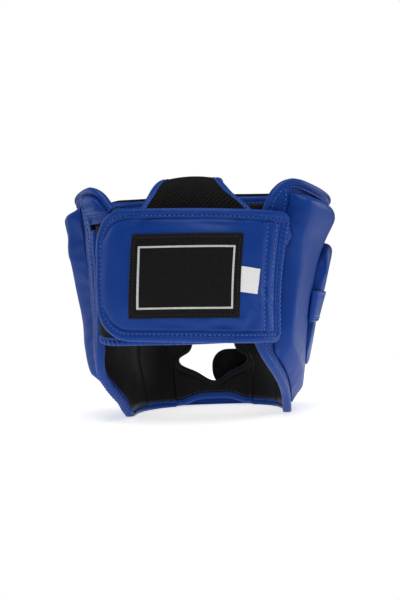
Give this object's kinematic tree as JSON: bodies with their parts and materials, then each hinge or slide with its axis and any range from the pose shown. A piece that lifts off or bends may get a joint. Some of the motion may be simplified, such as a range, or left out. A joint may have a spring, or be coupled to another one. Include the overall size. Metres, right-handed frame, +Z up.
{
  "type": "open-face kickboxing headgear",
  "caption": "Padded leatherette sparring headgear with an open face, ear pads, chin guard, air-mesh crown and a wide hook-and-loop strap at the back.",
  "frame": {"origin": "under the middle of the headgear, on the surface that its lower rim rests on", "axes": "+X to the wearer's right, +Y the way the wearer faces, +Z up"},
  "size_m": [0.2105, 0.2398, 0.1901],
  "materials": {
    "leatherette": "blue leatherette with a soft gloss",
    "lining": "smooth black lining",
    "air_mesh": "black air mesh with staggered holes",
    "loop_pile": "black loop pile",
    "woven_label": "black woven label with a thin white frame",
    "tag_ribbon": "plain white ribbon"
  },
  "bodies": {
    "root": {"side_panel_right": "lining", "side_panel_left": "lining", "forehead_panel": "lining", "cheek_panel_right": "lining", "cheek_panel_left": "lining", "chin_panel": "lining", "side_pad_right": "leatherette", "side_pad_left": "leatherette", "forehead_pad": "leatherette", "cheek_pad_right": "leatherette", "cheek_pad_left": "leatherette", "chin_pad": "leatherette", "ear_pad_right": "leatherette", "ear_pad_left": "leatherette", "ear_band_right": "leatherette", "ear_band_left": "leatherette", "back_strap": "leatherette", "strap_binding": "leatherette", "strap_label": "woven_label", "size_tag": "tag_ribbon", "loop_tail": "loop_pile", "rear_flap_left": "leatherette", "crown_panel": "air_mesh", "crown_binding_right": "leatherette", "crown_binding_left": "leatherette", "chin_tab": "lining", "rim_binding_right": "leatherette", "rim_binding_left": "leatherette", "chin_binding": "leatherette", "top_binding_right": "leatherette", "top_binding_left": "leatherette", "face_binding": "leatherette"}
  },
  "joints": []
}
